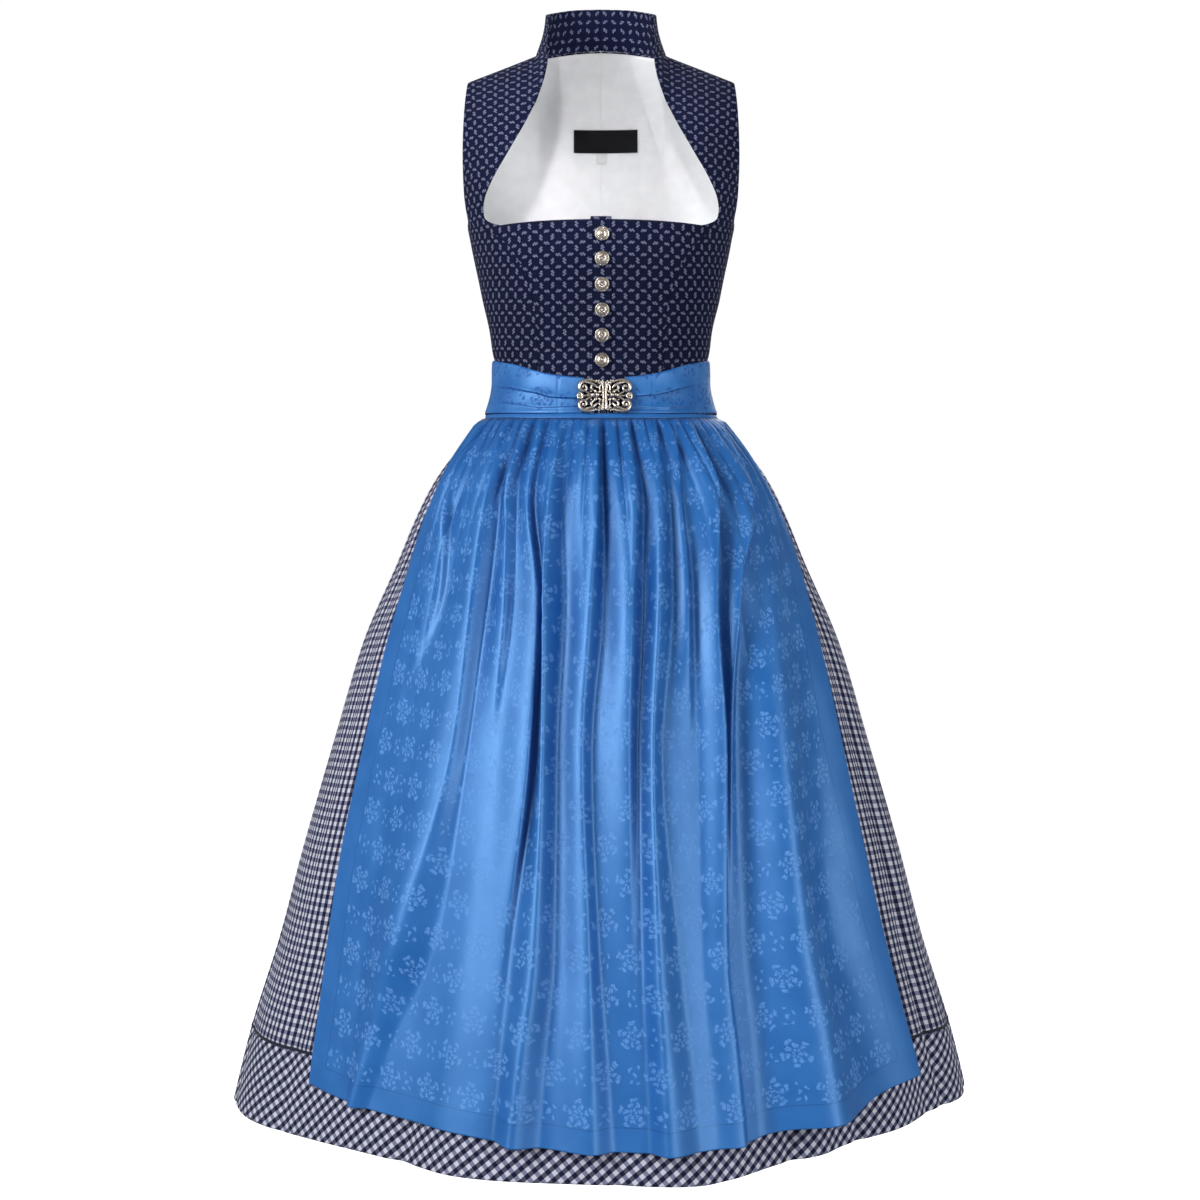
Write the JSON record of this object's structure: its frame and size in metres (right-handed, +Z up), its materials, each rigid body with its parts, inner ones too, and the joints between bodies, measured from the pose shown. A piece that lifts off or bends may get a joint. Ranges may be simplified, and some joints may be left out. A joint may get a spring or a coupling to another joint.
{
  "type": "dirndl",
  "caption": "Sleeveless calf-length dirndl with stand collar and deep neckline, gathered checked skirt with bias hem band, and a gathered satin apron closed by a metal clasp, shown worn",
  "frame": {"origin": "midway between the two shoulder seams, on the line that joins them, where the wearer's shoulders hold the dress up", "axes": "+Z up, +X to the right of somebody facing the front of the dress, -Y the way the front faces"},
  "size_m": [0.8007, 0.6716, 1.214],
  "materials": {
    "bodice": "matt navy cotton with a small pale sprig",
    "lining": "smooth pale grey lining with a soft sheen",
    "label": "bare black woven label",
    "size_tab": "bare white woven tab",
    "check": "matt navy and white woven check",
    "piping": "dark navy corded piping",
    "apron": "mid blue satin with a tonal woven flower figure",
    "metal": "old silver with a warm tone, dark in its hollows"
  },
  "bodies": {
    "root": {"front_left": "bodice", "front_right": "bodice", "side_front_left": "bodice", "side_front_right": "bodice", "back_left": "bodice", "back_right": "bodice", "button_band": "bodice", "collar_left": "bodice", "collar_right": "bodice", "lining_back_left": "lining", "lining_back_right": "lining", "label": "label", "size_tab": "size_tab", "button_1": "metal", "button_2": "metal", "button_3": "metal", "button_4": "metal", "button_5": "metal", "button_6": "metal", "skirt_front": "check", "skirt_back": "check", "hem_band_front": "check", "hem_band_back": "check", "piping_front": "piping", "piping_back": "piping", "apron_skirt": "apron", "apron_heading": "apron", "apron_band_left": "apron", "apron_band_right": "apron", "clasp_left": "metal", "clasp_right": "metal"}
  },
  "joints": []
}
